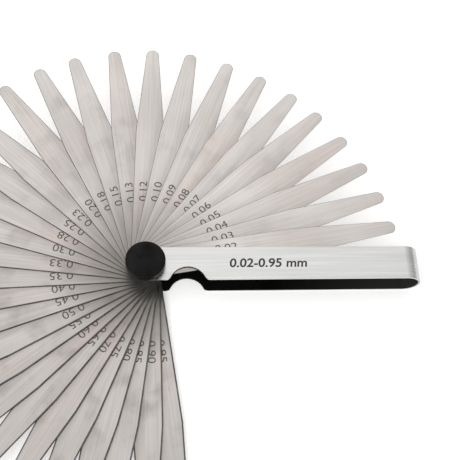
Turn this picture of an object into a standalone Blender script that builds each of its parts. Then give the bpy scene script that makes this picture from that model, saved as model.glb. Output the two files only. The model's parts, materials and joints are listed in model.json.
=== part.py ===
"""Leaf feeler gauge: thickness leaves fanned out on one pivot, in a folded sheet-steel handle.

Metres, +Z up. The origin is on the pivot axis, in the plane of the handle's flat underside.
+X runs along the handle, from the pivot to the fold.
"""

from math import acos, asin, atan2, cos, hypot, pi, radians, sin

import bmesh
import bpy

MM = 0.001

# Leaves, from the top of the stack down: nominal thickness in mm, and fan angle from the handle in degrees
LEAVES = (
    (0.02, 9.0), (0.03, 17.0), (0.04, 25.5), (0.05, 34.0),
    (0.06, 43.0), (0.07, 51.0), (0.08, 60.0), (0.09, 69.0),
    (0.10, 78.5), (0.12, 88.0), (0.13, 97.5), (0.15, 107.5),
    (0.18, 116.5), (0.20, 126.0), (0.23, 136.5), (0.25, 145.5),
    (0.28, 154.5), (0.30, 163.5), (0.33, 173.5), (0.35, 182.5),
    (0.40, 191.0), (0.45, 199.5), (0.50, 209.0), (0.55, 216.5),
    (0.60, 224.5), (0.65, 232.0), (0.70, 240.0), (0.75, 247.5),
    (0.80, 255.0), (0.85, 262.0), (0.90, 270.5), (0.95, 277.5),
)
LEAF_REACH = 111.0 * MM          # pivot to tip
LEAF_WIDTH = 12.7 * MM           # half-inch strip
LEAF_TAPER = 45.0 * MM           # length of the tapered end
LEAF_TIP_RADIUS = 2.9 * MM
LEAF_HOLE_RADIUS = 3.17 * MM
LEAF_GAP = 0.03 * MM             # running gap between neighbouring leaves

# Handle: one band of sheet, folded at its far end
SHEET = 0.8 * MM
HANDLE_WIDTH = 14.8 * MM
HANDLE_REACH = 119.0 * MM        # pivot to the outside of the fold
NOTCH_CENTRE = 17.8 * MM         # thumb notch in the near edge of both cheeks
NOTCH_DEPTH = 5.9 * MM
NOTCH_RADIUS = 8.0 * MM
NOTCH_CORNER_RADIUS = 2.3 * MM

# Pivot stud
SHANK_RADIUS = 3.0 * MM
SHANK_CLEARANCE = 0.15 * MM      # round a faceted hole
NECK_SIDE = 4.0 * MM             # square neck, flush with the underside
NECK_CLEARANCE = 0.1 * MM
THREAD_RADIUS = 2.5 * MM
THREAD_CLEARANCE = 0.1 * MM

# Washers and knob, stacked above the upper cheek
STACK_GAP = 0.03 * MM
WAVE_SHEET = 0.3 * MM
WAVE_HEIGHT = 0.2 * MM           # crest to trough, on top of the sheet
WAVE_COUNT = 3
WAVE_RADIUS = 6.5 * MM
WASHER_THICKNESS = 0.8 * MM
WASHER_RADIUS = 7.0 * MM
KNOB_RADIUS = 8.4 * MM
KNOB_WALL_HEIGHT = 2.7 * MM
KNOB_DOME_HEIGHT = 0.8 * MM
KNOB_EDGE_RADIUS = 0.5 * MM
KNOB_POCKET_DEPTH = 2.5 * MM
INSERT_RADIUS = 4.4 * MM
INSERT_CLEARANCE = 0.05 * MM
INSERT_HEIGHT = 2.4 * MM

LEAF_STACK = sum(size for size, angle in LEAVES) * MM + (len(LEAVES) + 1) * LEAF_GAP
HANDLE_HEIGHT = LEAF_STACK + 2 * SHEET
WAVE_BASE = HANDLE_HEIGHT + STACK_GAP
WASHER_BASE = WAVE_BASE + WAVE_SHEET + WAVE_HEIGHT + STACK_GAP
KNOB_BASE = WASHER_BASE + WASHER_THICKNESS + STACK_GAP
STUD_TOP = KNOB_BASE + INSERT_HEIGHT - 0.3 * MM

ROUND_STEPS = 32


def clear_scene():
    for obj in list(bpy.data.objects):
        bpy.data.objects.remove(obj, do_unlink=True)


def new_collection(name):
    collection = bpy.data.collections.new(name)
    bpy.context.scene.collection.children.link(collection)
    return collection


def metal(name, colour, roughness, metallic=1.0):
    """A Principled material with one colour."""
    material = bpy.data.materials.new(name)
    material.use_nodes = True
    shader = material.node_tree.nodes["Principled BSDF"]
    shader.inputs["Base Color"].default_value = (*colour, 1.0)
    shader.inputs["Roughness"].default_value = roughness
    shader.inputs["Metallic"].default_value = metallic
    return material


def leaf_steel():
    return metal("leaf_steel", (0.62, 0.61, 0.59), 0.32)


def handle_steel():
    return metal("handle_steel", (0.72, 0.72, 0.71), 0.3)


def stud_steel():
    return metal("stud_steel", (0.55, 0.55, 0.55), 0.35)


def washer_steel():
    return metal("washer_steel", (0.5, 0.5, 0.49), 0.4)


def black_plastic():
    return metal("black_plastic", (0.02, 0.02, 0.022), 0.35, 0.0)


def insert_brass():
    return metal("insert_brass", (0.72, 0.52, 0.24), 0.35)


def arc(centre, radius, start, end, steps):
    """Points on an arc from start to end, both in radians and both included."""
    angles = [start + (end - start) * k / steps for k in range(steps + 1)]
    return [(centre[0] + radius * cos(a), centre[1] + radius * sin(a)) for a in angles]


def circle(radius, steps):
    return arc((0, 0), radius, 0, 2 * pi, steps)[:-1]


def add_loop(curve, points):
    spline = curve.splines.new("POLY")
    spline.points.add(len(points) - 1)
    for point, (x, y) in zip(spline.points, points):
        point.co = (x, y, 0, 1)
    spline.use_cyclic_u = True


def flat_piece(name, loops, thickness, collection):
    """A filled 2D curve: the first loop is the outline, and the others are holes."""
    curve = bpy.data.curves.new(name, "CURVE")
    curve.dimensions = "2D"
    curve.fill_mode = "BOTH"
    curve.extrude = thickness / 2
    for points in loops:
        add_loop(curve, points)
    obj = bpy.data.objects.new(name, curve)
    collection.objects.link(obj)
    return obj


def as_mesh(obj):
    """The same object as a mesh, with the caps of its curve welded on."""
    graph = bpy.context.evaluated_depsgraph_get()
    mesh = bpy.data.meshes.new_from_object(obj.evaluated_get(graph))
    shape = bmesh.new()
    shape.from_mesh(mesh)
    bmesh.ops.remove_doubles(shape, verts=shape.verts, dist=1e-6)
    bmesh.ops.recalc_face_normals(shape, faces=shape.faces)
    shape.to_mesh(mesh)
    shape.free()
    name = obj.name
    collection = obj.users_collection[0]
    matrix = obj.matrix_world.copy()
    bpy.data.objects.remove(obj, do_unlink=True)
    made = bpy.data.objects.new(name, mesh)
    made.matrix_world = matrix
    collection.objects.link(made)
    return made


def turned(name, profile, collection, steps=ROUND_STEPS):
    """A Screw about Z of a profile of (radius, height) points, listed down the outer side."""
    shape = bmesh.new()
    points = [shape.verts.new((radius, 0, height)) for radius, height in profile]
    for a, b in zip(points, points[1:]):
        shape.edges.new((a, b))
    mesh = bpy.data.meshes.new(name)
    shape.to_mesh(mesh)
    shape.free()
    obj = bpy.data.objects.new(name, mesh)
    collection.objects.link(obj)
    screw = obj.modifiers.new("turn", "SCREW")
    screw.steps = steps
    screw.render_steps = steps
    screw.use_merge_vertices = True
    screw.merge_threshold = 1e-6
    return obj


def ring_profile(inner, outer, bottom, top):
    """A closed rectangle, starting and ending at its upper inner corner."""
    return [(inner, top), (outer, top), (outer, bottom), (inner, bottom), (inner, top)]


def hide_cutter(obj):
    obj.hide_render = True
    obj.display_type = "WIRE"


def boolean(obj, other, operation):
    modifier = obj.modifiers.new(other.name, "BOOLEAN")
    modifier.operation = operation
    modifier.object = other
    modifier.solver = "EXACT"


def box(name, low, high, collection):
    """A box primitive from its two corners."""
    shape = bmesh.new()
    bmesh.ops.create_cube(shape, size=1.0)
    size = [b - a for a, b in zip(low, high)]
    bmesh.ops.scale(shape, verts=shape.verts, vec=size)
    mesh = bpy.data.meshes.new(name)
    shape.to_mesh(mesh)
    shape.free()
    obj = bpy.data.objects.new(name, mesh)
    obj.location = [(a + b) / 2 for a, b in zip(low, high)]
    collection.objects.link(obj)
    return obj


def cylinder(name, radius, bottom, top, collection, steps=ROUND_STEPS):
    shape = bmesh.new()
    bmesh.ops.create_cone(
        shape, cap_ends=True, segments=steps, radius1=radius, radius2=radius, depth=top - bottom
    )
    mesh = bpy.data.meshes.new(name)
    shape.to_mesh(mesh)
    shape.free()
    obj = bpy.data.objects.new(name, mesh)
    obj.location.z = (bottom + top) / 2
    collection.objects.link(obj)
    return obj


def leaf_outline():
    """Round root, parallel sides, straight taper and round tip, along +X from the pivot."""
    half = LEAF_WIDTH / 2
    tip_centre = LEAF_REACH - LEAF_TIP_RADIUS
    shoulder = LEAF_REACH - LEAF_TAPER
    reach = hypot(tip_centre - shoulder, half)
    tangent = atan2(half, shoulder - tip_centre) - acos(LEAF_TIP_RADIUS / reach)
    root = arc((0, 0), half, pi / 2, 3 * pi / 2, 12)
    tip = arc((tip_centre, 0), LEAF_TIP_RADIUS, -tangent, tangent, 6)
    return root + [(shoulder, -half)] + tip + [(shoulder, half)]


def leaf_name(size):
    return "leaf_" + f"{size:.2f}".replace(".", "_") + "mm"


def make_leaves(collection, pivot):
    steel = leaf_steel()
    loops = (leaf_outline(), circle(LEAF_HOLE_RADIUS, 16))
    top = HANDLE_HEIGHT - SHEET - LEAF_GAP
    for size, angle in LEAVES:
        thickness = size * MM
        leaf = flat_piece(leaf_name(size), loops, thickness, collection)
        leaf.location.z = top - thickness / 2
        leaf.rotation_euler.z = radians(angle)
        leaf.parent = pivot
        leaf.data.materials.append(steel)
        top -= thickness + LEAF_GAP


def cheek_outline():
    """The band's outline from above: round at the pivot, and notched in the near edge."""
    half = HANDLE_WIDTH / 2
    beyond = HANDLE_REACH + SHEET
    arch_y = -half + NOTCH_DEPTH - NOTCH_RADIUS
    corner_y = -half + NOTCH_CORNER_RADIUS
    lean = asin((corner_y - arch_y) / (NOTCH_RADIUS + NOTCH_CORNER_RADIUS))
    spread = (NOTCH_RADIUS + NOTCH_CORNER_RADIUS) * cos(lean)
    left = (NOTCH_CENTRE - spread, corner_y)
    right = (NOTCH_CENTRE + spread, corner_y)
    return (
        arc((0, 0), half, pi / 2, 3 * pi / 2, 20)
        + arc(left, NOTCH_CORNER_RADIUS, -pi / 2, -lean, 4)
        + arc((NOTCH_CENTRE, arch_y), NOTCH_RADIUS, pi - lean, lean, 14)[1:-1]
        + arc(right, NOTCH_CORNER_RADIUS, pi + lean, 3 * pi / 2, 4)
        + [(beyond, -half), (beyond, half)]
    )


def fold_profile():
    """The band's outer face seen from the side: upper cheek, half-round fold, lower cheek."""
    radius = HANDLE_HEIGHT / 2
    start = -HANDLE_WIDTH
    fold = arc((HANDLE_REACH - radius, radius), radius, pi / 2, -pi / 2, 16)
    return [(start, HANDLE_HEIGHT), *fold, (start, 0)]


def make_band(collection, cutters, pivot):
    """An open strip of sheet, thickened inwards, then cut to the outline and drilled."""
    shape = bmesh.new()
    edge = [shape.verts.new((x, -HANDLE_WIDTH, z)) for x, z in fold_profile()]
    rim = [shape.edges.new(pair) for pair in zip(edge, edge[1:])]
    swept = bmesh.ops.extrude_edge_only(shape, edges=rim)
    far = [item for item in swept["geom"] if isinstance(item, bmesh.types.BMVert)]
    bmesh.ops.translate(shape, verts=far, vec=(0, 2 * HANDLE_WIDTH, 0))
    bmesh.ops.recalc_face_normals(shape, faces=shape.faces)
    mesh = bpy.data.meshes.new("handle_band")
    shape.to_mesh(mesh)
    shape.free()
    band = bpy.data.objects.new("handle_band", mesh)
    collection.objects.link(band)
    band.parent = pivot
    band.data.materials.append(handle_steel())
    solidify = band.modifiers.new("sheet", "SOLIDIFY")
    solidify.thickness = SHEET
    solidify.offset = -1
    solidify.use_even_offset = True

    outline = flat_piece("cut_outline", (cheek_outline(),), HANDLE_HEIGHT + 2 * SHEET, cutters)
    outline.location.z = HANDLE_HEIGHT / 2
    bpy.context.view_layer.update()
    outline = as_mesh(outline)
    hole = SHANK_RADIUS + SHANK_CLEARANCE
    drill = cylinder("cut_pivot_hole", hole, HANDLE_HEIGHT - 2 * SHEET, HANDLE_HEIGHT + SHEET, cutters)
    side = NECK_SIDE / 2 + NECK_CLEARANCE
    broach = box("cut_square_hole", (-side, -side, -SHEET), (side, side, 2 * SHEET), cutters)
    for cutter in (outline, drill, broach):
        hide_cutter(cutter)
    boolean(band, outline, "INTERSECT")
    boolean(band, drill, "DIFFERENCE")
    boolean(band, broach, "DIFFERENCE")


def make_stud(collection, cutters, pivot):
    """A square neck flush in the lower cheek, a round shank through the leaves, a threaded end."""
    shoulder = SHEET + LEAF_GAP
    shank_top = HANDLE_HEIGHT - SHEET / 2
    thread_chamfer = 0.3 * MM
    profile = [
        (0, STUD_TOP),
        (THREAD_RADIUS - thread_chamfer, STUD_TOP),
        (THREAD_RADIUS, STUD_TOP - thread_chamfer),
        (THREAD_RADIUS, shank_top),
        (SHANK_RADIUS, shank_top),
        (SHANK_RADIUS, shoulder),
        (0, shoulder),
    ]
    stud = turned("pivot_stud", profile, collection)
    half = NECK_SIDE / 2
    neck = box("join_square_neck", (-half, -half, 0), (half, half, 2 * shoulder), cutters)
    hide_cutter(neck)
    boolean(stud, neck, "UNION")
    stud.parent = pivot
    stud.data.materials.append(stud_steel())


def make_wave_washer(collection, pivot):
    """A thin ring whose height follows a sine round the pivot, thickened by Solidify."""
    steps = 12 * WAVE_COUNT
    inner = THREAD_RADIUS + 2 * THREAD_CLEARANCE
    shape = bmesh.new()
    rings = []
    for k in range(steps):
        angle = 2 * pi * k / steps
        height = WAVE_HEIGHT * (0.5 + 0.5 * cos(WAVE_COUNT * angle))
        rings.append([
            shape.verts.new((radius * cos(angle), radius * sin(angle), height))
            for radius in (inner, WAVE_RADIUS)
        ])
    for a, b in zip(rings, rings[1:] + rings[:1]):
        shape.faces.new((a[0], a[1], b[1], b[0]))
    mesh = bpy.data.meshes.new("wave_washer")
    shape.to_mesh(mesh)
    shape.free()
    washer = bpy.data.objects.new("wave_washer", mesh)
    collection.objects.link(washer)
    washer.location.z = WAVE_BASE
    washer.parent = pivot
    solidify = washer.modifiers.new("sheet", "SOLIDIFY")
    solidify.thickness = WAVE_SHEET
    solidify.offset = 1
    washer.data.materials.append(washer_steel())


def make_flat_washer(collection, pivot):
    inner = THREAD_RADIUS + 2 * THREAD_CLEARANCE
    profile = ring_profile(inner, WASHER_RADIUS, 0, WASHER_THICKNESS)
    washer = turned("knob_washer", profile, collection)
    washer.location.z = WASHER_BASE
    washer.parent = pivot
    washer.data.materials.append(washer_steel())


def make_knob(collection, pivot):
    """A low-domed cap with a round pocket underneath for its threaded insert."""
    pocket = INSERT_RADIUS + INSERT_CLEARANCE
    rim = KNOB_RADIUS - KNOB_EDGE_RADIUS
    dome_radius = (rim * rim + KNOB_DOME_HEIGHT ** 2) / (2 * KNOB_DOME_HEIGHT)
    half_angle = asin(rim / dome_radius)
    dome_centre = KNOB_WALL_HEIGHT + KNOB_DOME_HEIGHT - dome_radius
    dome = arc((0, dome_centre), dome_radius, pi / 2, pi / 2 - half_angle, 5)
    edge = arc((rim, KNOB_WALL_HEIGHT - KNOB_EDGE_RADIUS), KNOB_EDGE_RADIUS, pi / 2, 0, 3)[1:]
    under_chamfer = 0.3 * MM
    profile = dome + edge + [
        (KNOB_RADIUS, under_chamfer),
        (KNOB_RADIUS - under_chamfer, 0),
        (pocket, 0),
        (pocket, KNOB_POCKET_DEPTH),
        (0, KNOB_POCKET_DEPTH),
    ]
    knob = turned("knob_cap", profile, collection)
    knob.location.z = KNOB_BASE
    knob.parent = pivot
    knob.data.materials.append(black_plastic())


def make_insert(collection, pivot):
    inner = THREAD_RADIUS + THREAD_CLEARANCE
    insert = turned("knob_insert", ring_profile(inner, INSERT_RADIUS, 0, INSERT_HEIGHT), collection)
    insert.location.z = KNOB_BASE + STACK_GAP
    insert.parent = pivot
    insert.data.materials.append(insert_brass())


def shade_round(obj):
    """Smooth faces, with the edges sharper than 30 degrees kept crisp."""
    if obj.type == "MESH":
        obj.data.shade_smooth()
        obj.data.set_sharp_from_angle(angle=radians(30))


def main():
    clear_scene()
    gauge = new_collection("feeler_gauge")
    cutters = new_collection("cutters")
    pivot = bpy.data.objects.new("pivot_axis", None)
    gauge.objects.link(pivot)
    make_band(gauge, cutters, pivot)
    make_stud(gauge, cutters, pivot)
    make_leaves(gauge, pivot)
    make_wave_washer(gauge, pivot)
    make_flat_washer(gauge, pivot)
    make_knob(gauge, pivot)
    make_insert(gauge, pivot)
    for obj in gauge.objects:
        shade_round(obj)


main()
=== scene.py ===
"""Leaf feeler gauge, fanned open: its finished surfaces, with a floor, soft light and a camera."""

import json
import math

import bmesh
import bpy
from mathutils import Matrix, Vector


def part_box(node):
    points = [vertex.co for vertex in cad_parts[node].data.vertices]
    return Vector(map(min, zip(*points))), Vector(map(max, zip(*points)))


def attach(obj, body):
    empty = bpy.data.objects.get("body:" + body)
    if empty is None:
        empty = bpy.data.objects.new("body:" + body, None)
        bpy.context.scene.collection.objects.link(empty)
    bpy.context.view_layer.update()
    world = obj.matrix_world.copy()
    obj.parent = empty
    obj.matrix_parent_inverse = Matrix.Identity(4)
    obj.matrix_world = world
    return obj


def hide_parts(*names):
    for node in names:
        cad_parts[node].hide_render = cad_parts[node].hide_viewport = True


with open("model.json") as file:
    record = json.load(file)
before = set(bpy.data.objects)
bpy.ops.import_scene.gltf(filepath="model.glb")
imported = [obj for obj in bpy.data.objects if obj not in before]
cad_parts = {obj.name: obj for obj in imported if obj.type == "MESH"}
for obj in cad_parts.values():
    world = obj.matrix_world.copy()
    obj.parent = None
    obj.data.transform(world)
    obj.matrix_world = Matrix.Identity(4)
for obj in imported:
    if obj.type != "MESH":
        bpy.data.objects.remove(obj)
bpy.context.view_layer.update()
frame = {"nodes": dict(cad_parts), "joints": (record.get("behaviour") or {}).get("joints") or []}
MM = 0.001

# ---------------------------------------------------------------------------------------------
# Studio: a plain white floor under the gauge, a white room that is dimmer on two sides, and a
# camera high in front of the handle's near edge, rolled a little so that the handle lies level.
# ---------------------------------------------------------------------------------------------
FLOOR_SIDE = 4.0
FLOOR_DROP = 0.05 * MM
FLOOR_GLOW = 0.36
KEY_PLACE = (-0.9, -0.75, 0.9)
KEY_SIZE = 0.8
KEY_WATTS = 6.0

scene = bpy.context.scene
scene.view_settings.view_transform = "Standard"

floor_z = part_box("handle_band")[0].z - FLOOR_DROP
bpy.ops.mesh.primitive_plane_add(size=FLOOR_SIDE, location=(0, 0, floor_z))
floor = bpy.context.object
floor.name = "floor"
floor_paint = bpy.data.materials.new("floor_paint")
floor_paint.use_nodes = True
floor_shader = floor_paint.node_tree.nodes["Principled BSDF"]
floor_shader.inputs["Base Color"].default_value = (0.93, 0.93, 0.93, 1)
floor_shader.inputs["Roughness"].default_value = 0.9
floor_shader.inputs["Specular IOR Level"].default_value = 0.0
floor_shader.inputs["Emission Color"].default_value = (1, 1, 1, 1)
floor_shader.inputs["Emission Strength"].default_value = FLOOR_GLOW
floor.data.materials.append(floor_paint)

# The room's walls: white, darker towards +X and towards -Y.
room = bpy.data.worlds.new("room")
scene.world = room
room.use_nodes = True
room_nodes = room.node_tree.nodes
room_links = room.node_tree.links
room_light = room_nodes["Background"]
room_direction = room_nodes.new("ShaderNodeTexCoord")
room_axes = room_nodes.new("ShaderNodeSeparateXYZ")
room_strength = room_nodes.new("ShaderNodeMath")
room_strength.operation = "MULTIPLY"
room_links.new(room_direction.outputs["Generated"], room_axes.inputs["Vector"])
for number, (axis, start, end, near_tone, far_tone) in enumerate(
    (("X", 0.14, 0.8, 1.07, 0.50), ("Y", 0.12, 0.55, 0.75, 1.05))
):
    room_side = room_nodes.new("ShaderNodeMapRange")
    room_side.inputs["From Min"].default_value = start
    room_side.inputs["From Max"].default_value = end
    room_side.inputs["To Min"].default_value = near_tone
    room_side.inputs["To Max"].default_value = far_tone
    room_links.new(room_axes.outputs[axis], room_side.inputs["Value"])
    room_links.new(room_side.outputs["Result"], room_strength.inputs[number])
room_links.new(room_strength.outputs["Value"], room_light.inputs["Strength"])
room_light.inputs["Color"].default_value = (1.0, 0.995, 0.985, 1)

bpy.ops.object.light_add(type="AREA", location=KEY_PLACE)
key = bpy.context.object
key.name = "key_light"
key.data.size = KEY_SIZE
key.data.energy = KEY_WATTS
key.rotation_euler = (-key.location).to_track_quat("-Z", "Y").to_euler()

VIEW_AZIMUTH = math.radians(-12.33)
VIEW_ELEVATION = math.radians(63.88)
VIEW_ROLL = math.radians(10.92)
VIEW_DISTANCE = 0.4082
VIEW_TARGET = Vector((0.03783, 0.02206, 0))
SENSOR_WIDTH = 36.0
LENS = 71.225

turn = Matrix.Rotation(VIEW_AZIMUTH, 4, "Z") @ Matrix.Rotation(math.pi / 2 - VIEW_ELEVATION, 4, "X")
back = turn.to_3x3() @ Vector((0, 0, 1))
camera = bpy.data.objects.new("camera", bpy.data.cameras.new("camera"))
scene.collection.objects.link(camera)
camera.data.sensor_width = SENSOR_WIDTH
camera.data.lens = LENS
camera.data.clip_start = 0.01
camera.matrix_world = (
    Matrix.Translation(VIEW_TARGET + VIEW_DISTANCE * back) @ turn @ Matrix.Rotation(VIEW_ROLL, 4, "Z")
)
scene.camera = camera

# ---------------------------------------------------------------------------------------------
# Handle: one strip of steel sheet, folded back on itself and open along both sides. Its outside
# is brushed along its length, with painted shade round the fold; its inside is painted near-black
# for the shade between the cheeks, and both cheeks have a thumb notch.
# ---------------------------------------------------------------------------------------------
band_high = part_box("handle_band")[1]
half_width = band_high.y
handle_height = band_high.z
fold_radius = handle_height / 2
fold_x = band_high.x - fold_radius
SHEET = 0.8 * MM
NOTCH_X = 17.8 * MM
NOTCH_DEPTH = 5.9 * MM
NOTCH_RADIUS = 8.0 * MM
NOTCH_CORNER = 2.3 * MM
SHEET_BEVEL = 0.1 * MM
STUD_HOLE_PLAY = 0.1 * MM
NECK_HOLE = 2.1 * MM             # half the side of the square hole
SKIN_MARGIN = 0.05 * MM          # how near a face's middle lies to the skin that it belongs to
NOTCH_MARGIN = 0.3 * MM
WELD = 0.001 * MM                # points this near each other are merged
INSIDE_SHADE_LIFT = (58 * MM, 108 * MM)     # along X, where the inside's painted shade lifts from black to grey
OUTSIDE, INSIDE, SHEARED, NOTCH_WALL = range(4)   # the strip's materials, in order


def deselect():
    bpy.ops.object.select_all(action="DESELECT")


def hold(piece):
    """Make one object the only selected and the active one."""
    deselect()
    piece.select_set(True)
    bpy.context.view_layer.objects.active = piece


def edit(piece):
    hold(piece)
    bpy.ops.object.mode_set(mode="EDIT")


def leave_edit():
    bpy.ops.object.mode_set(mode="OBJECT")


def middle(item):
    if isinstance(item, bmesh.types.BMVert):
        return item.co
    return sum((v.co for v in item.verts), Vector()) / len(item.verts)


def pick(piece, kind, wanted):
    """In edit mode, select the vertices, edges or faces whose middle passes the test."""
    bpy.ops.mesh.select_mode(type=kind)
    bpy.ops.mesh.select_all(action="DESELECT")
    shape = bmesh.from_edit_mesh(piece.data)
    for item in {"VERT": shape.verts, "EDGE": shape.edges, "FACE": shape.faces}[kind]:
        if wanted(middle(item)):
            item.select_set(True)
    shape.select_flush(True)
    bmesh.update_edit_mesh(piece.data)


def near(a, b):
    return abs(a - b) < 0.01 * MM


def tidy_normals():
    """In edit mode, weld doubles and turn every face outwards."""
    bpy.ops.mesh.select_all(action="SELECT")
    bpy.ops.mesh.remove_doubles(threshold=WELD)
    bpy.ops.mesh.normals_make_consistent(inside=False)


def cut(piece, cutter, operation="DIFFERENCE"):
    """Apply a boolean with the cutter, then throw the cutter away."""
    hold(piece)
    modifier = piece.modifiers.new("cut", "BOOLEAN")
    modifier.operation = operation
    modifier.object = cutter
    bpy.ops.object.modifier_apply(modifier="cut")
    bpy.data.objects.remove(cutter, do_unlink=True)


def drum(radius, x, y, low, high, sides=96):
    """A plain upright cylinder, as a cutter or a blank."""
    deselect()
    bpy.ops.mesh.primitive_cylinder_add(
        vertices=sides, radius=radius, depth=high - low, location=(x, y, (low + high) / 2)
    )
    return bpy.context.object


def block(low, high):
    """A cutter: a plain box between two corners."""
    deselect()
    size = [b - a for a, b in zip(low, high)]
    bpy.ops.mesh.primitive_cube_add(size=1, location=[(a + b) / 2 for a, b in zip(low, high)])
    bpy.ops.transform.resize(value=size)
    return bpy.context.object


deselect()
bpy.ops.mesh.primitive_plane_add(size=2 * half_width, location=(0, 0, handle_height))
band = bpy.context.object
band.name = "handle_sheet"
bpy.ops.object.transform_apply()
edit(band)
pick(band, "EDGE", lambda p: near(p.x, half_width))
bpy.ops.mesh.extrude_region_move(TRANSFORM_OT_translate={"value": (fold_x - half_width, 0, 0)})
bpy.ops.mesh.spin(steps=36, angle=-math.pi, center=(fold_x, 0, fold_radius), axis=(0, 1, 0))
bpy.ops.mesh.extrude_region_move(TRANSFORM_OT_translate={"value": (-fold_x - half_width, 0, 0)})
pick(band, "VERT", lambda p: near(p.x, -half_width))
bpy.ops.mesh.bevel(offset=half_width, segments=24, affect="VERTICES", clamp_overlap=False)
tidy_normals()
leave_edit()
if band.data.polygons[0].normal.z * (band.data.polygons[0].center.z - fold_radius) < 0:
    band.data.flip_normals()

sheet = band.modifiers.new("sheet", "SOLIDIFY")
sheet.thickness = SHEET
sheet.offset = -1
sheet.use_even_offset = True
hold(band)
bpy.ops.object.modifier_apply(modifier="sheet")

# The notch cutter: a drum for the arch, on a block whose upper corners are rolled away.
arch_y = -half_width + NOTCH_DEPTH - NOTCH_RADIUS
corner_y = -half_width + NOTCH_CORNER
spread = math.sqrt((NOTCH_RADIUS + NOTCH_CORNER) ** 2 - (corner_y - arch_y) ** 2)
flare_y = arch_y + (corner_y - arch_y) * NOTCH_RADIUS / (NOTCH_RADIUS + NOTCH_CORNER)
below = -MM
above = handle_height + MM
notch = block((NOTCH_X - spread, -2 * half_width, below), (NOTCH_X + spread, flare_y, above))
for side in (-1, 1):
    cut(notch, drum(NOTCH_CORNER, NOTCH_X + side * spread, corner_y, below - MM, above + MM, sides=48))
cut(notch, drum(NOTCH_RADIUS, NOTCH_X, arch_y, below, above), "UNION")
cut(band, notch)
shank_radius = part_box("pivot_stud")[1].x
cut(band, drum(shank_radius + STUD_HOLE_PLAY, 0, 0, handle_height - 2 * SHEET, above))
cut(band, block((-NECK_HOLE, -NECK_HOLE, below), (NECK_HOLE, NECK_HOLE, 2 * SHEET)))


def round_edges(piece, width, segments, from_degrees, smooth_degrees):
    """Bevel every edge sharper than an angle, and keep the broad faces shading flat."""
    hold(piece)
    rounding = piece.modifiers.new("rounding", "BEVEL")
    rounding.width = width
    rounding.segments = segments
    rounding.limit_method = "ANGLE"
    rounding.angle_limit = math.radians(from_degrees)
    bpy.ops.object.modifier_apply(modifier="rounding")
    bpy.ops.object.shade_smooth_by_angle(angle=math.radians(smooth_degrees))
    flatten = piece.modifiers.new("flatten", "WEIGHTED_NORMAL")
    flatten.keep_sharp = True
    bpy.ops.object.modifier_apply(modifier="flatten")


round_edges(band, SHEET_BEVEL, segments=2, from_degrees=50, smooth_degrees=35)


def new_material(name):
    """An empty Principled material: the material, its nodes, its links and its shader."""
    material = bpy.data.materials.new(name)
    material.use_nodes = True
    nodes = material.node_tree.nodes
    return material, nodes, material.node_tree.links, nodes["Principled BSDF"]


def add_noise(nodes, links, vector, scale, detail=2.0):
    """Soft noise over a place or a UV map, finer for a larger scale."""
    noise = nodes.new("ShaderNodeTexNoise")
    noise.inputs["Scale"].default_value = scale
    noise.inputs["Detail"].default_value = detail
    links.new(vector, noise.inputs["Vector"])
    return noise


# Grinding marks: long hair-thin streaks along X, and slow clouds of tone.
grain_group = bpy.data.node_groups.new("ground_grain", "ShaderNodeTree")
grain_group.interface.new_socket("Vector", in_out="INPUT", socket_type="NodeSocketVector")
for label in ("Along", "Across", "Cloud Scale"):
    grain_group.interface.new_socket(label, in_out="INPUT", socket_type="NodeSocketFloat")
for label in ("Streak", "Hair", "Cloud"):
    grain_group.interface.new_socket(label, in_out="OUTPUT", socket_type="NodeSocketFloat")
grain_in = grain_group.nodes.new("NodeGroupInput")
grain_out = grain_group.nodes.new("NodeGroupOutput")
grain_nodes = grain_group.nodes
grain_links = grain_group.links
grain_scale = grain_nodes.new("ShaderNodeCombineXYZ")
grain_links.new(grain_in.outputs["Along"], grain_scale.inputs["X"])
grain_links.new(grain_in.outputs["Across"], grain_scale.inputs["Y"])
grain_links.new(grain_in.outputs["Along"], grain_scale.inputs["Z"])
grain_stretch = grain_nodes.new("ShaderNodeVectorMath")
grain_stretch.operation = "MULTIPLY"
grain_links.new(grain_in.outputs["Vector"], grain_stretch.inputs[0])
grain_links.new(grain_scale.outputs["Vector"], grain_stretch.inputs[1])
streak_noise = add_noise(grain_nodes, grain_links, grain_stretch.outputs["Vector"], 1.0, 3.0)
grain_links.new(streak_noise.outputs["Fac"], grain_out.inputs["Streak"])
hair_noise = add_noise(grain_nodes, grain_links, grain_stretch.outputs["Vector"], 4.5)
grain_links.new(hair_noise.outputs["Fac"], grain_out.inputs["Hair"])
cloud_noise = add_noise(grain_nodes, grain_links, grain_in.outputs["Vector"], 1.0)
grain_links.new(grain_in.outputs["Cloud Scale"], cloud_noise.inputs["Scale"])
grain_links.new(cloud_noise.outputs["Fac"], grain_out.inputs["Cloud"])


def add_grain(nodes, links, vector, along, across, cloud):
    """Grinding marks in a material, with their scales along, across and for the clouds."""
    grain = nodes.new("ShaderNodeGroup")
    grain.node_tree = grain_group
    grain.inputs["Along"].default_value = along
    grain.inputs["Across"].default_value = across
    grain.inputs["Cloud Scale"].default_value = cloud
    links.new(vector, grain.inputs["Vector"])
    return grain


def add_range(nodes, links, value, low, high, from_low=0.3, from_high=0.7):
    """Stretch a 0-1 value onto a range of tones, roughnesses or weights."""
    stretch = nodes.new("ShaderNodeMapRange")
    stretch.inputs["From Min"].default_value = from_low
    stretch.inputs["From Max"].default_value = from_high
    stretch.inputs["To Min"].default_value = low
    stretch.inputs["To Max"].default_value = high
    links.new(value, stretch.inputs["Value"])
    return stretch.outputs["Result"]


MIX_FACTOR, MIX_A, MIX_B = 0, 6, 7    # a Mix node's sockets for two colours share their names
MIX_RESULT = 2


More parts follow.
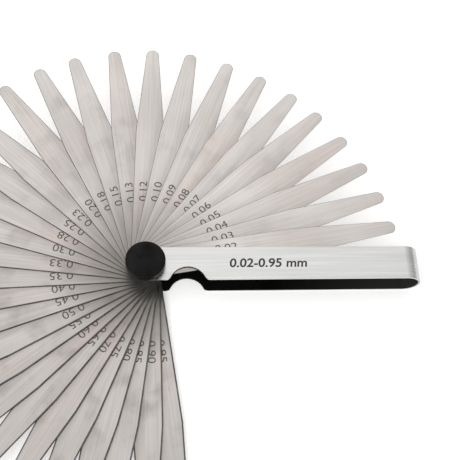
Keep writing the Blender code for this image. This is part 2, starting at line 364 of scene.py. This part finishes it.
def add_mix(nodes, links, factor, a, b, blend="MIX"):
    """Mix two colours, each a value or another node's output."""
    mix = nodes.new("ShaderNodeMix")
    mix.data_type = "RGBA"
    mix.blend_type = blend
    for number, value in ((MIX_FACTOR, factor), (MIX_A, a), (MIX_B, b)):
        socket = mix.inputs[number]
        if isinstance(value, bpy.types.NodeSocket):
            links.new(value, socket)
        elif isinstance(value, tuple):
            socket.default_value = (*value, 1.0)
        else:
            socket.default_value = value
    return mix.outputs[MIX_RESULT]


def add_bump(nodes, links, height, shader, strength, distance):
    """Tilt a shader's normal by a height that changes over the surface."""
    bump = nodes.new("ShaderNodeBump")
    bump.inputs["Strength"].default_value = strength
    bump.inputs["Distance"].default_value = distance
    links.new(height, bump.inputs["Height"])
    links.new(bump.outputs["Normal"], shader.inputs["Normal"])


def brushed_sheet(name, dark, light, roughness):
    """Bright sheet brushed along the handle, with painted shade darkening it round the fold."""
    material, nodes, links, shader = new_material(name)
    place = nodes.new("ShaderNodeTexCoord")
    grain = add_grain(nodes, links, place.outputs["Object"], along=22.0, across=1100.0, cloud=28.0)
    tone = add_mix(nodes, links, add_range(nodes, links, grain.outputs["Streak"], 0, 1), dark, light)
    cloud = add_range(nodes, links, grain.outputs["Cloud"], 0.0, 0.5)
    tone = add_mix(nodes, links, cloud, tone, (0.97, 0.97, 0.99), "MULTIPLY")
    axes = nodes.new("ShaderNodeSeparateXYZ")
    links.new(place.outputs["Object"], axes.inputs["Vector"])
    # Painted shade: the tone is darkened over the outer part of the fold, where the bend turns away.
    fold_start = fold_x + 0.3 * fold_radius
    fold_end = fold_x + 0.8 * fold_radius
    fold_shade = add_range(nodes, links, axes.outputs["X"], 0, 1, fold_start, fold_end)
    tone = add_mix(nodes, links, fold_shade, tone, (0.66, 0.66, 0.66), "MULTIPLY")
    links.new(tone, shader.inputs["Base Color"])
    rough = add_range(nodes, links, grain.outputs["Hair"], roughness - 0.05, roughness + 0.08)
    links.new(rough, shader.inputs["Roughness"])
    shader.inputs["Metallic"].default_value = 1.0
    add_bump(nodes, links, grain.outputs["Hair"], shader, strength=0.25, distance=0.01 * MM)
    return material


def painted_shade_inside():
    """The handle's inside: painted near-black as the shade between the cheeks, a little greyer towards the
    fold.
    """
    material, nodes, links, shader = new_material("inside_black_painted_shade")
    place = nodes.new("ShaderNodeTexCoord")
    grain = add_grain(nodes, links, place.outputs["Object"], along=40.0, across=900.0, cloud=90.0)
    bloom = add_range(nodes, links, grain.outputs["Cloud"], 0, 1)
    tone = add_mix(nodes, links, bloom, (0.0018, 0.0018, 0.0018), (0.004, 0.004, 0.004))
    axes = nodes.new("ShaderNodeSeparateXYZ")
    links.new(place.outputs["Object"], axes.inputs["Vector"])
    # Painted shade: the near-black lifts to dark grey towards the fold.
    tone_shift = add_range(nodes, links, axes.outputs["X"], 0.0, 1.0, *INSIDE_SHADE_LIFT)
    tone = add_mix(nodes, links, tone_shift, tone, (0.029, 0.029, 0.0285))
    links.new(tone, shader.inputs["Base Color"])
    rough = add_range(nodes, links, grain.outputs["Streak"], 0.55, 0.7)
    links.new(rough, shader.inputs["Roughness"])
    shader.inputs["Specular IOR Level"].default_value = 0.06
    add_bump(nodes, links, grain.outputs["Streak"], shader, strength=0.2, distance=0.01 * MM)
    return material


band.data.materials.clear()
band.data.materials.append(brushed_sheet("brushed_outside", (0.70, 0.70, 0.695), (0.83, 0.83, 0.82), 0.27))
band.data.materials.append(painted_shade_inside())
band.data.materials.append(brushed_sheet("sheared_edge", (0.56, 0.56, 0.56), (0.80, 0.80, 0.79), 0.36))
# The notch's cut wall: the same brushed steel in a much darker tone.
band.data.materials.append(brushed_sheet("dark_notch_wall", (0.06, 0.058, 0.055), (0.12, 0.118, 0.112), 0.5))


def depth_in_sheet(p):
    """How far a point lies inside the band's outer skin."""
    if p.x > fold_x:
        return fold_radius - math.hypot(p.x - fold_x, p.z - fold_radius)
    return min(p.z, handle_height - p.z)


for face in band.data.polygons:
    depth = depth_in_sheet(face.center)
    in_notch = abs(face.center.x - NOTCH_X) < spread and -half_width + NOTCH_MARGIN < face.center.y < 0
    if depth < 1.1 * SHEET_BEVEL:
        face.material_index = OUTSIDE
    elif depth > SHEET - SKIN_MARGIN:
        face.material_index = INSIDE
    elif in_notch:
        face.material_index = NOTCH_WALL
    else:
        face.material_index = SHEARED
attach(band, "handle")
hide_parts("handle_band")

# ---------------------------------------------------------------------------------------------
# Range marking on the upper cheek: the span of the leaves in plain sans-serif figures, printed
# in dark ink with a slight slope.
# ---------------------------------------------------------------------------------------------
MARK_HEIGHT = 4.1 * MM
MARK_LENGTH = 33.2 * MM
MARK_START = 35.6 * MM
MARK_BASE = -1.9 * MM
MARK_BOLDNESS = 0.12 * MM
MARK_SLOPE = 0.12
INK = 0.004 * MM
FIGURE_HEIGHT = 0.729            # of a figure, for a font size of one


def lettering(text, height, length, boldness=0.0, slope=0.0):
    """Flat figures as a thin closed mesh, starting at the origin, reading along +X."""
    deselect()
    bpy.ops.object.text_add(location=(0, 0, 0))
    words = bpy.context.object
    words.data.body = text
    words.data.size = height / FIGURE_HEIGHT
    words.data.resolution_u = 4
    words.data.offset = boldness
    words.data.shear = slope
    words.data.extrude = INK
    bpy.ops.object.convert(target="MESH")
    words = bpy.context.object
    low = min(v.co.x for v in words.data.vertices)
    high = max(v.co.x for v in words.data.vertices)
    words.data.transform(Matrix.Translation((-low, 0, 0)))
    words.data.transform(Matrix.Diagonal((length / (high - low), 1, 1, 1)))
    edit(words)
    tidy_normals()
    leave_edit()
    return words


def etched_mark(name, colour):
    """Dark figures, mottled where the surface was bitten unevenly."""
    material, nodes, links, shader = new_material(name)
    place = nodes.new("ShaderNodeTexCoord")
    speck = add_noise(nodes, links, place.outputs["Object"], 2500.0)
    fade = add_range(nodes, links, speck.outputs["Fac"], 0, 1)
    pale = tuple(1.9 * c for c in colour)
    links.new(add_mix(nodes, links, fade, colour, pale), shader.inputs["Base Color"])
    links.new(add_range(nodes, links, speck.outputs["Fac"], 0.45, 0.75), shader.inputs["Roughness"])
    shader.inputs["Specular IOR Level"].default_value = 0.2
    return material


leaf_labels = [n.removeprefix("leaf_") for n in frame["nodes"] if n.startswith("leaf_")]
sizes = sorted(float(label.removesuffix("mm").replace("_", ".")) for label in leaf_labels)
range_words = f"{sizes[0]:.2f}-{sizes[-1]:.2f} mm"
range_mark = lettering(range_words, MARK_HEIGHT, MARK_LENGTH, MARK_BOLDNESS, MARK_SLOPE)
range_mark.name = "range_mark"
range_mark.data.transform(Matrix.Translation((MARK_START, MARK_BASE, handle_height)))
range_mark.data.materials.append(etched_mark("range_ink", (0.035, 0.034, 0.033)))
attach(range_mark, "handle")

# ---------------------------------------------------------------------------------------------
# Leaves: half-inch spring-steel strip, ground bright along its length, tapered to a round tip
# and etched with its thickness. Each is punched for the stud, and its edges are stoned blunt and
# painted dark as the shade between the leaves; painted shade also darkens each leaf by the pivot
# and beside its neighbour.
# ---------------------------------------------------------------------------------------------
LEAF_TAPER = 45.0 * MM
LEAF_TIP_HALF = 2.67 * MM        # half width where the taper would meet the tip line
EDGE_WIDTH = (0.11 * MM, 0.68 * MM)   # of the blunted band painted dark, on a leaf of no thickness and on one of a millimetre
EDGE_DROP = 0.03 * MM
FIGURE_START = 30.4 * MM
FIGURE_LENGTH = 9.7 * MM
FIGURE_SIZE = 3.5 * MM
FIGURE_BASE = 0.5 * MM
LEAF_HOLE_PLAY = 0.12 * MM
LEAST_SHADE = 0.35                # on the thinnest leaf, where 1 is the full painted shade and smudging
FULL_SHADE_FROM = 24                   # this leaf and all thicker ones get the full painted shade and smudging
PIVOT_SHADE_SPAN = (8 * MM, 40 * MM)         # along the leaf, where painted shade darkens it by the pivot and where it ends
NEIGHBOUR_SHADOW_WIDTH = 3.5 * MM          # of the painted shadow beside the neighbour's edge
GRAIN_PITCH = 0.05               # between one leaf's grain and the next one's

leaf_names = ["leaf_" + f"{size:.2f}".replace(".", "_") + "mm" for size in sizes]
home_angle = {
    joint["child"]: -math.radians(joint["range_deg"][0])
    for joint in frame["joints"]
    if joint["child"].startswith("leaf_")
}
leaf_half = max(
    (Matrix.Rotation(-home_angle[leaf_names[0]], 3, "Z") @ v.co).y
    for v in frame["nodes"][leaf_names[0]].data.vertices
)
leaf_reach = max(v.co.xy.length for v in frame["nodes"][leaf_names[0]].data.vertices)

# The blank, one millimetre thick: a square, drawn out to the shoulder and then to the tip.
deselect()
bpy.ops.mesh.primitive_plane_add(size=2 * leaf_half, location=(0, 0, 0))
blank = bpy.context.object
blank.name = "leaf_blank"
edit(blank)
pick(blank, "EDGE", lambda p: near(p.x, leaf_half))
draw_out = leaf_reach - LEAF_TAPER - leaf_half
bpy.ops.mesh.extrude_region_move(TRANSFORM_OT_translate={"value": (draw_out, 0, 0)})
bpy.ops.mesh.extrude_region_move(TRANSFORM_OT_translate={"value": (LEAF_TAPER, 0, 0)})
bpy.ops.transform.resize(value=(1, LEAF_TIP_HALF / leaf_half, 1))
pick(blank, "VERT", lambda p: near(p.x, -leaf_half))
bpy.ops.mesh.bevel(offset=leaf_half, segments=20, affect="VERTICES", clamp_overlap=False)
pick(blank, "VERT", lambda p: near(p.x, leaf_reach))
bpy.ops.mesh.bevel(offset=LEAF_TIP_HALF, segments=12, affect="VERTICES", clamp_overlap=False)
bpy.ops.mesh.select_all(action="SELECT")
bpy.ops.mesh.remove_doubles(threshold=WELD)
bpy.ops.mesh.dissolve_limited(angle_limit=math.radians(0.5))
bpy.ops.mesh.select_all(action="SELECT")
bpy.ops.mesh.extrude_region_move(TRANSFORM_OT_translate={"value": (0, 0, MM)})
tidy_normals()
leave_edit()
cut(blank, drum(shank_radius + LEAF_HOLE_PLAY, 0, 0, -MM, 2 * MM, sides=64))


def ground_leaf_steel():
    """Strip steel ground along the leaf, with slow tints and smudges, painted shade by the pivot and
    beside its neighbour, and painted light on the thin leaves.
    """
    material, nodes, links, shader = new_material("ground_leaf_steel")
    along_leaf = nodes.new("ShaderNodeUVMap")
    along_leaf.uv_map = "along_leaf"
    grain = add_grain(nodes, links, along_leaf.outputs["UV"], along=25.0, across=1300.0, cloud=30.0)
    streak = add_range(nodes, links, grain.outputs["Streak"], 0, 1)
    tone = add_mix(nodes, links, streak, (0.612, 0.582, 0.558), (0.730, 0.697, 0.671))
    tint_noise = add_noise(nodes, links, along_leaf.outputs["UV"], 16.0)
    rosy = add_range(nodes, links, tint_noise.outputs["Fac"], 0.0, 1.0, 0.5, 0.68)
    tone = add_mix(nodes, links, rosy, tone, (1.0, 0.945, 0.93), "MULTIPLY")
    green = add_range(nodes, links, tint_noise.outputs["Fac"], 1.0, 0.0, 0.32, 0.5)
    tone = add_mix(nodes, links, green, tone, (0.98, 0.978, 0.965), "MULTIPLY")
    cloud = add_range(nodes, links, grain.outputs["Cloud"], 0.0, 1.0)
    tone = add_mix(nodes, links, cloud, tone, (0.86, 0.86, 0.865), "MULTIPLY")
    axes = nodes.new("ShaderNodeSeparateXYZ")
    links.new(along_leaf.outputs["UV"], axes.inputs["Vector"])
    # Per-leaf strength of the painted shade and smudges, from part on the thinnest leaf to full on the
    # thick ones.
    shade_and_smudge = nodes.new("ShaderNodeAttribute")
    shade_and_smudge.attribute_name = "shade_and_smudge"
    # Painted light: leaves with less painted shade are lifted brighter.
    painted_lift = add_range(nodes, links, shade_and_smudge.outputs["Fac"], 1.0, 0.0, LEAST_SHADE, 0.6)
    tone = add_mix(nodes, links, painted_lift, tone, (1.10, 1.10, 1.10), "MULTIPLY")
    # Painted shade: darkest by the pivot, fading out along the leaf.
    pivot_shade = add_range(nodes, links, axes.outputs["X"], 1.0, 0.0, *PIVOT_SHADE_SPAN)
    # Painted shadow: darker beside the edge of the neighbouring leaf that lies over this one.
    across = nodes.new("ShaderNodeAttribute")
    across.attribute_name = "from_neighbour"
    neighbour_shadow = add_range(nodes, links, across.outputs["Fac"], 1.0, 0.0, 0.0, NEIGHBOUR_SHADOW_WIDTH)
    smudge_noise = add_noise(nodes, links, along_leaf.outputs["UV"], 75.0, 4.0)
    smudged = add_range(nodes, links, smudge_noise.outputs["Fac"], 0.0, 1.0, 0.53, 0.72)
    # Painted shade by the pivot and beside the neighbour's edge, and random smudges, each scaled by the
    # leaf's strength.
    for place, colour in (
        (pivot_shade, (0.34, 0.335, 0.33)),
        (neighbour_shadow, (0.76, 0.75, 0.745)),
        (smudged, (0.76, 0.75, 0.745)),
    ):
        tone_shift = nodes.new("ShaderNodeMath")
        tone_shift.operation = "MULTIPLY"
        links.new(place, tone_shift.inputs[0])
        links.new(shade_and_smudge.outputs["Fac"], tone_shift.inputs[1])
        tone = add_mix(nodes, links, tone_shift.outputs["Value"], tone, colour, "MULTIPLY")
    links.new(tone, shader.inputs["Base Color"])
    rough = add_range(nodes, links, grain.outputs["Hair"], 0.26, 0.40)
    links.new(rough, shader.inputs["Roughness"])
    shader.inputs["Metallic"].default_value = 1.0
    add_bump(nodes, links, grain.outputs["Hair"], shader, strength=0.3, distance=0.01 * MM)
    return material


def shaded_edge_steel():
    """The leaf's blunted edges and sheared sides: duller steel, painted dark as the shade in the lines
    between the leaves.
    """
    material, nodes, links, shader = new_material("leaf_edge_painted_shade")
    along_leaf = nodes.new("ShaderNodeUVMap")
    along_leaf.uv_map = "along_leaf"
    grain = add_grain(nodes, links, along_leaf.outputs["UV"], along=300.0, across=300.0, cloud=200.0)
    patch = add_range(nodes, links, grain.outputs["Cloud"], 0, 1)
    tone = add_mix(nodes, links, patch, (0.075, 0.072, 0.068), (0.17, 0.165, 0.16))
    links.new(tone, shader.inputs["Base Color"])
    links.new(add_range(nodes, links, grain.outputs["Streak"], 0.4, 0.6), shader.inputs["Roughness"])
    shader.inputs["Metallic"].default_value = 0.8
    return material


leaf_steel = ground_leaf_steel()
leaf_edge_shade = shaded_edge_steel()
leaf_mark = etched_mark("etched_size", (0.075, 0.068, 0.062))
fan_step = (home_angle[leaf_names[-1]] - home_angle[leaf_names[0]]) / (len(sizes) - 1)

for number, (size, name) in enumerate(zip(sizes, leaf_names)):
    low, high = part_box(name)
    thickness = high.z - low.z
    drop = min(EDGE_DROP, 0.25 * thickness)
    edge_width = EDGE_WIDTH[0] + (EDGE_WIDTH[1] - EDGE_WIDTH[0]) * thickness / MM
    leaf = blank.copy()
    leaf.data = blank.data.copy()
    leaf.name = f"strip_{size:.2f}".replace(".", "_")
    scene.collection.objects.link(leaf)
    core_top = thickness - drop
    core = (core_top - drop) / MM
    leaf.data.transform(Matrix.Translation((0, 0, drop)) @ Matrix.Diagonal((1, 1, core, 1)))
    edit(leaf)
    for level in (drop, core_top):
        pick(leaf, "FACE", lambda p: abs(p.z - level) < 0.001 * MM)
        bpy.ops.mesh.inset(thickness=edge_width, depth=drop, use_even_offset=True)
    leave_edit()
    for material in (leaf_steel, leaf_edge_shade, leaf_mark):
        leaf.data.materials.append(material)
    # Faces off the flat top and bottom take the dark edge material: painted shade for the lines between
    # the leaves, wider on thicker leaves.
    for face in leaf.data.polygons:
        flat = abs(face.normal.z) > 0.9999
        at_face = min(abs(face.center.z), abs(face.center.z - thickness)) < 0.2 * drop
        face.material_index = 0 if flat and at_face else 1

    figures = lettering(f"{size:.2f}", FIGURE_SIZE, FIGURE_LENGTH)
    figures.data.transform(Matrix.Translation((FIGURE_START, FIGURE_BASE, thickness)))
    figures.data.materials.append(leaf_mark)
    hold(leaf)
    figures.select_set(True)
    bpy.ops.object.join()

    along = leaf.data.uv_layers.new(name="along_leaf")
    # Each leaf's strength of painted shade and smudges, from its place in the fan.
    shade_and_smudge = leaf.data.attributes.new("shade_and_smudge", "FLOAT", "POINT")
    from_neighbour = leaf.data.attributes.new("from_neighbour", "FLOAT", "POINT")
    for vertex in leaf.data.vertices:
        shade_and_smudge.data[vertex.index].value = LEAST_SHADE + (1 - LEAST_SHADE) * min(1, number / FULL_SHADE_FROM)
        # Distance from where the neighbouring leaf's edge rests at home, which places its painted shadow.
        rest_y = leaf_half * math.cos(fan_step) - math.sin(fan_step) * vertex.co.x
        from_neighbour.data[vertex.index].value = vertex.co.y - rest_y
    for loop in leaf.data.loops:
        p = leaf.data.vertices[loop.vertex_index].co
        along.data[loop.index].uv = (p.x, p.y + GRAIN_PITCH * (number + 1))
    leaf.data.transform(Matrix.Translation((0, 0, low.z)) @ Matrix.Rotation(home_angle[name], 4, "Z"))
    hold(leaf)
    bpy.ops.object.shade_smooth_by_angle(angle=math.radians(20))
    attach(leaf, name)
    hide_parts(name)
bpy.data.objects.remove(blank, do_unlink=True)

# ---------------------------------------------------------------------------------------------
# Knob: a low-domed disc of black moulded plastic, satin on top, with a round pocket underneath
# for its threaded brass insert.
# ---------------------------------------------------------------------------------------------
knob_low, knob_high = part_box("knob_cap")
knob_radius = knob_high.x
KNOB_DOME = 0.8 * MM
KNOB_EDGE = 0.55 * MM
DOME_RINGS = 9
POCKET_DEPTH = 2.5 * MM
INSERT_PLAY = 0.05 * MM
wall_top = knob_high.z - KNOB_DOME
pocket_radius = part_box("knob_insert")[1].x + INSERT_PLAY

knob = drum(knob_radius, 0, 0, knob_low.z, wall_top, sides=128)
knob.name = "knob_moulding"
bpy.ops.object.transform_apply()
edit(knob)
pick(knob, "FACE", lambda p: near(p.z, wall_top))
ring = knob_radius
height = 0.0
for k in range(1, DOME_RINGS + 1):
    narrower = knob_radius * math.cos(0.5 * math.pi * k / (DOME_RINGS + 1))
    higher = KNOB_DOME * (1 - (narrower / knob_radius) ** 2)
    bpy.ops.mesh.inset(thickness=ring - narrower, use_even_offset=True)
    bpy.ops.transform.translate(value=(0, 0, higher - height))
    ring = narrower
    height = higher
bpy.ops.mesh.poke()
pick(knob, "VERT", lambda p: p.xy.length < 1e-6 and p.z > wall_top)
bpy.ops.transform.translate(value=(0, 0, KNOB_DOME - height))
pick(knob, "FACE", lambda p: near(p.z, knob_low.z))
bpy.ops.mesh.inset(thickness=knob_radius - pocket_radius)
bpy.ops.mesh.extrude_region_move(TRANSFORM_OT_translate={"value": (0, 0, POCKET_DEPTH)})
tidy_normals()
leave_edit()
round_edges(knob, KNOB_EDGE, segments=5, from_degrees=60, smooth_degrees=40)


def moulded_plastic():
    """Black plastic with a fine moulded texture and a few dull, handled patches."""
    material, nodes, links, shader = new_material("moulded_black")
    place = nodes.new("ShaderNodeTexCoord")
    pebble = add_noise(nodes, links, place.outputs["Object"], 2600.0)
    patch = add_noise(nodes, links, place.outputs["Object"], 160.0)
    tone_shift = add_range(nodes, links, patch.outputs["Fac"], 0, 1)
    tone = add_mix(nodes, links, tone_shift, (0.003, 0.0027, 0.0027), (0.0055, 0.005, 0.005))
    links.new(tone, shader.inputs["Base Color"])
    links.new(add_range(nodes, links, patch.outputs["Fac"], 0.26, 0.38), shader.inputs["Roughness"])
    gloss_noise = add_noise(nodes, links, place.outputs["Object"], 110.0)
    gloss = add_range(nodes, links, gloss_noise.outputs["Fac"], 0.06, 0.20)
    links.new(gloss, shader.inputs["Specular IOR Level"])
    add_bump(nodes, links, pebble.outputs["Fac"], shader, strength=0.25, distance=0.015 * MM)
    return material


knob.data.materials.append(moulded_plastic())
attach(knob, "knob")
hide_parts("knob_cap")

# ---------------------------------------------------------------------------------------------
# Washers between the knob and the upper cheek: a wavy spring washer, and a flat one that the
# knob bears on. Both are punched from thin steel.
# ---------------------------------------------------------------------------------------------
WASHER_BORE = 2.7 * MM
WASHER_BEVEL = 0.06 * MM
WASHER_STEPS = 3                 # rings of faces from bore to rim
WAVE_SHEET = 0.3 * MM
WAVES = 3


def washer_ring(name, base, radius, thickness):
    """A flat ring standing on a height: a circle widened to the rim, then thickened."""
    deselect()
    bpy.ops.mesh.primitive_circle_add(vertices=96, radius=WASHER_BORE, location=(0, 0, base))
    ring = bpy.context.object
    ring.name = name
    bpy.ops.object.transform_apply()
    edit(ring)
    bpy.ops.mesh.select_mode(type="EDGE")
    bpy.ops.mesh.select_all(action="SELECT")
    reach = WASHER_BORE
    for step in range(1, WASHER_STEPS + 1):
        wider = WASHER_BORE + (radius - WASHER_BORE) * step / WASHER_STEPS
        bpy.ops.mesh.extrude_region_move()
        bpy.ops.transform.resize(value=(wider / reach, wider / reach, 1), center_override=(0, 0, base))
        reach = wider
    bpy.ops.mesh.select_all(action="SELECT")
    bpy.ops.mesh.extrude_region_move(TRANSFORM_OT_translate={"value": (0, 0, thickness)})
    tidy_normals()
    leave_edit()
    return ring


def punched_steel():
    """Plain washer steel with turning marks round the pivot and a few dull spots."""
    material, nodes, links, shader = new_material("punched_steel")
    place = nodes.new("ShaderNodeTexCoord")
    rings = nodes.new("ShaderNodeTexWave")
    rings.wave_type = "RINGS"
    rings.rings_direction = "Z"
    rings.inputs["Scale"].default_value = 900.0
    rings.inputs["Distortion"].default_value = 3.0
    links.new(place.outputs["Object"], rings.inputs["Vector"])
    spots = add_noise(nodes, links, place.outputs["Object"], 400.0)
    dull = add_range(nodes, links, spots.outputs["Fac"], 0, 1)
    tone = add_mix(nodes, links, dull, (0.36, 0.355, 0.35), (0.52, 0.515, 0.505))
    links.new(tone, shader.inputs["Base Color"])
    links.new(add_range(nodes, links, rings.outputs["Fac"], 0.3, 0.42, 0, 1), shader.inputs["Roughness"])
    shader.inputs["Metallic"].default_value = 1.0
    return material


washer_steel = punched_steel()
for name, node in (("flat_ring", "knob_washer"), ("spring_ring", "wave_washer")):
    low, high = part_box(node)
    wave = high.z - low.z - WAVE_SHEET if name == "spring_ring" else 0.0
    ring = washer_ring(name, low.z, high.x, high.z - low.z - wave)
    for vertex in ring.data.vertices:
        angle = math.atan2(vertex.co.y, vertex.co.x)
        vertex.co.z += wave * (0.5 + 0.5 * math.cos(WAVES * angle))
    round_edges(ring, WASHER_BEVEL, segments=2, from_degrees=60, smooth_degrees=40)
    ring.data.materials.append(washer_steel)
    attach(ring, "handle")
    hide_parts(node)

# ---------------------------------------------------------------------------------------------
# Stud and insert: the turned steel stud, square where it sits flush in the lower cheek, and the
# brass nut moulded into the knob. Both keep their machined shape.
# ---------------------------------------------------------------------------------------------


def turned_metal(name, dark, light):
    """Lathe-turned metal: fine rings across the axis, with a little tarnish."""
    material, nodes, links, shader = new_material(name)
    place = nodes.new("ShaderNodeTexCoord")
    feed = nodes.new("ShaderNodeTexWave")
    feed.bands_direction = "Z"
    feed.inputs["Scale"].default_value = 1500.0
    feed.inputs["Distortion"].default_value = 1.0
    links.new(place.outputs["Object"], feed.inputs["Vector"])
    tarnish = add_noise(nodes, links, place.outputs["Object"], 500.0)
    dull = add_range(nodes, links, tarnish.outputs["Fac"], 0, 1)
    links.new(add_mix(nodes, links, dull, dark, light), shader.inputs["Base Color"])
    links.new(add_range(nodes, links, feed.outputs["Fac"], 0.28, 0.4, 0, 1), shader.inputs["Roughness"])
    shader.inputs["Metallic"].default_value = 1.0
    return material


for node, material in (
    ("pivot_stud", turned_metal("turned_steel", (0.40, 0.40, 0.395), (0.56, 0.555, 0.55))),
    ("knob_insert", turned_metal("turned_brass", (0.56, 0.40, 0.18), (0.74, 0.55, 0.27))),
):
    frame["nodes"][node].material_slots[0].material = material
